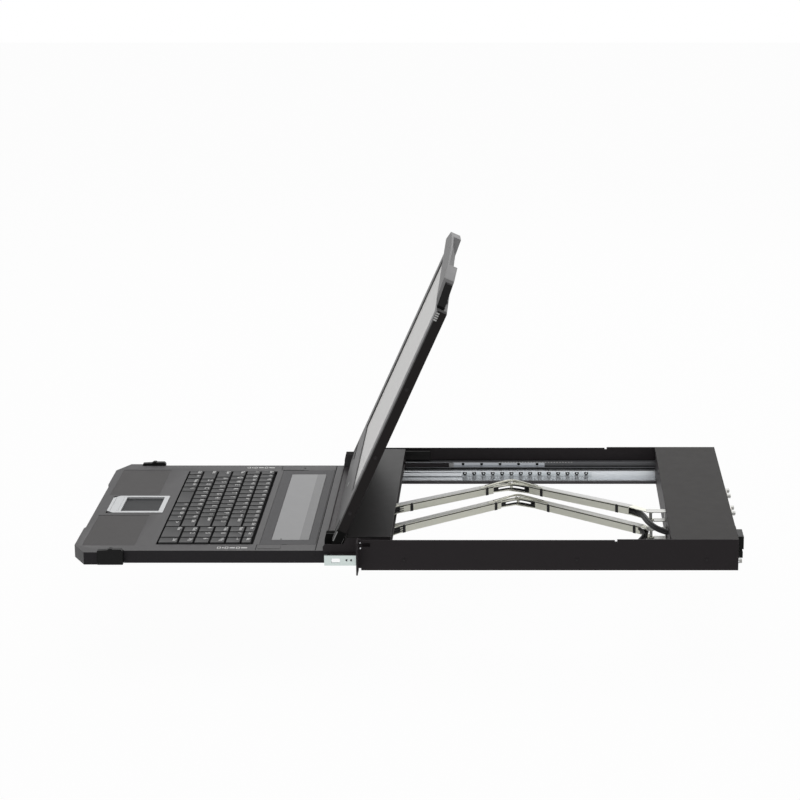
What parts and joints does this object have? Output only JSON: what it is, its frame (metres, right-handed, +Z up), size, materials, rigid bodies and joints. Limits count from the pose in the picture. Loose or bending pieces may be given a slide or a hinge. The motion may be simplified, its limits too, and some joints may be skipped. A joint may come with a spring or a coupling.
{
  "type": "rackmount lcd console drawer",
  "caption": "Rack drawer with a fold-up flat display and a keyboard tray on separate slides, with folding cable arms.",
  "frame": {"origin": "middle of the rack screw pattern, on the back face of the rack ears", "axes": "+Y into the rack, +Z up, +X to the right of someone at the keyboard"},
  "size_m": [0.4826, 0.877, 0.3834],
  "materials": {
    "black_steel": "fine matt powder coat",
    "zinc_steel": "zinc-plated sheet",
    "bezel_plastic": "fine moulded texture",
    "key_plastic": "satin keycaps",
    "black_plastic": "moulded black",
    "button_metal": "silver lacquer",
    "frame_silver": "silver lacquer",
    "pad_plastic": "smooth touch surface",
    "strip_plastic": "smooth grey inlay",
    "port_metal": "nickel-plated shell",
    "board_green": "solder mask",
    "screen_glass": "anti-glare glass",
    "panel_metal": "display module",
    "arm_cream": "plated channel",
    "cable_black": "cable sheath"
  },
  "bodies": {
    "chassis": {"right_side_wall": "black_steel", "right_lower_rail": "zinc_steel", "right_upper_rail": "black_steel", "right_strike": "zinc_steel", "left_side_wall": "black_steel", "left_lower_rail": "zinc_steel", "left_upper_rail": "black_steel", "left_strike": "zinc_steel", "rear_housing": "black_steel", "rear_cover": "black_steel", "main_board": "board_green", "video_ports": "port_metal", "rear_screws": "zinc_steel", "power_inlet": "black_plastic", "chassis_screws": "black_steel", "arm_root_brackets": "zinc_steel"},
    "keyboard_drawer": {"keyboard_bezel": "bezel_plastic", "keyboard_pan": "black_steel", "touchpad_frame": "frame_silver", "touchpad": "pad_plastic", "function_strip": "strip_plastic", "keyboard_arm_bracket": "zinc_steel", "key_plate": "key_plastic", "panel_plate": "bezel_plastic", "right_lower_runner": "zinc_steel", "left_lower_runner": "zinc_steel"},
    "lower_cages": {"right_lower_cage": "zinc_steel", "left_lower_cage": "zinc_steel"},
    "display_tray": {"tray_frame": "black_steel", "tray_cover": "black_steel", "right_hinge_bracket": "black_steel", "left_hinge_bracket": "black_steel", "tray_arm_bracket": "zinc_steel", "right_upper_runner": "black_steel", "left_upper_runner": "black_steel"},
    "upper_cages": {"right_upper_cage": "zinc_steel", "left_upper_cage": "zinc_steel"},
    "display_lid": {"lid_back": "black_steel", "lid_bezel": "bezel_plastic", "screen_glass": "screen_glass", "lcd_panel": "panel_metal", "hinge_pins": "zinc_steel", "lid_screws": "black_steel"},
    "main_key_set": {"main_keys": "key_plastic"},
    "function_key_set": {"function_keys": "key_plastic"},
    "number_key_set": {"number_keys": "key_plastic"},
    "left_button": {"left_pad_button": "button_metal"},
    "right_button": {"right_pad_button": "button_metal"},
    "right_catch": {"right_keyboard_latch": "black_plastic"},
    "left_catch": {"left_keyboard_latch": "black_plastic"},
    "right_lid_catch": {"right_lid_latch": "black_plastic"},
    "left_lid_catch": {"left_lid_latch": "black_plastic"},
    "upper_rear_arm": {"upper_rear_link": "arm_cream", "upper_rear_cable": "cable_black"},
    "upper_front_arm": {"upper_front_link": "arm_cream", "upper_front_cable": "cable_black"},
    "lower_rear_arm": {"lower_rear_link": "arm_cream", "lower_rear_cable": "cable_black"},
    "lower_front_arm": {"lower_front_link": "arm_cream", "lower_front_cable": "cable_black"}
  },
  "joints": [
    {"name": "keyboard_slide", "type": "slide", "parent": "chassis", "child": "keyboard_drawer", "axis": [0, 1, 0], "range_m": [0, 0.34]},
    {"name": "display_slide", "type": "slide", "parent": "chassis", "child": "display_tray", "axis": [0, 1, 0], "range_m": [0, 0.359]},
    {"name": "lower_cage_roll", "type": "slide", "parent": "chassis", "child": "lower_cages", "axis": [0, 1, 0], "range_m": [-0.0005, 0.1705]},
    {"name": "upper_cage_roll", "type": "slide", "parent": "chassis", "child": "upper_cages", "axis": [0, 1, 0], "range_m": [-0.0005, 0.18]},
    {"name": "lid_hinge", "type": "hinge", "parent": "display_tray", "child": "display_lid", "pos_m": [0, -0.028, 0.01287], "axis": [-1, 0, 0], "range_deg": [-114.5, 0]},
    {"name": "main_keys_press", "type": "slide", "parent": "keyboard_drawer", "child": "main_key_set", "axis": [0, 0, -1], "range_m": [0, 0.002], "stiffness_N_per_m": 5000, "springref_m": -0.0015},
    {"name": "function_keys_press", "type": "slide", "parent": "keyboard_drawer", "child": "function_key_set", "axis": [0, 0, -1], "range_m": [0, 0.002], "stiffness_N_per_m": 1500, "springref_m": -0.0015},
    {"name": "number_keys_press", "type": "slide", "parent": "keyboard_drawer", "child": "number_key_set", "axis": [0, 0, -1], "range_m": [0, 0.002], "stiffness_N_per_m": 1800, "springref_m": -0.0015},
    {"name": "left_button_press", "type": "slide", "parent": "keyboard_drawer", "child": "left_button", "axis": [0, 0, -1], "range_m": [0, 0.0008], "stiffness_N_per_m": 700, "springref_m": -0.0008},
    {"name": "right_button_press", "type": "slide", "parent": "keyboard_drawer", "child": "right_button", "axis": [0, 0, -1], "range_m": [0, 0.0008], "stiffness_N_per_m": 700, "springref_m": -0.0008},
    {"name": "right_catch_press", "type": "slide", "parent": "keyboard_drawer", "child": "right_catch", "axis": [-1, 0, 0], "range_m": [0, 0.0018], "stiffness_N_per_m": 1500, "springref_m": -0.001},
    {"name": "left_catch_press", "type": "slide", "parent": "keyboard_drawer", "child": "left_catch", "axis": [1, 0, 0], "range_m": [0, 0.0018], "stiffness_N_per_m": 1500, "springref_m": -0.001},
    {"name": "right_lid_catch_press", "type": "slide", "parent": "display_lid", "child": "right_lid_catch", "axis": [-1, 0, 0], "range_m": [0, 0.002], "stiffness_N_per_m": 1500, "springref_m": -0.001},
    {"name": "left_lid_catch_press", "type": "slide", "parent": "display_lid", "child": "left_lid_catch", "axis": [1, 0, 0], "range_m": [0, 0.002], "stiffness_N_per_m": 1500, "springref_m": -0.001},
    {"name": "upper_arm_root", "type": "hinge", "parent": "chassis", "child": "upper_rear_arm", "pos_m": [0.079, 0.384, 0], "axis": [0, 0, 1], "range_deg": [-51.91, 0.05]},
    {"name": "upper_arm_knee", "type": "hinge", "parent": "upper_rear_arm", "child": "upper_front_arm", "pos_m": [-0.05779, 0.196, 0], "axis": [0, 0, 1], "range_deg": [-0.05, 103.78]},
    {"name": "lower_arm_root", "type": "hinge", "parent": "chassis", "child": "lower_rear_arm", "pos_m": [0.095, 0.384, 0], "axis": [0, 0, 1], "range_deg": [-48.11, 0.05]},
    {"name": "lower_arm_knee", "type": "hinge", "parent": "lower_rear_arm", "child": "lower_front_arm", "pos_m": [-0.05398, 0.2055, 0], "axis": [0, 0, 1], "range_deg": [-0.05, 96.16]}
  ],
  "couplings": [
    {"joint": "lower_cage_roll", "follows": "keyboard_slide", "ratio": 0.5},
    {"joint": "upper_cage_roll", "follows": "display_slide", "ratio": 0.5},
    {"joint": "upper_arm_root", "follows": "display_slide", "rad_per_m": -2.5215},
    {"joint": "upper_arm_knee", "follows": "display_slide", "rad_per_m": 5.0429},
    {"joint": "lower_arm_root", "follows": "keyboard_slide", "rad_per_m": -2.4669},
    {"joint": "lower_arm_knee", "follows": "keyboard_slide", "rad_per_m": 4.9338}
  ]
}
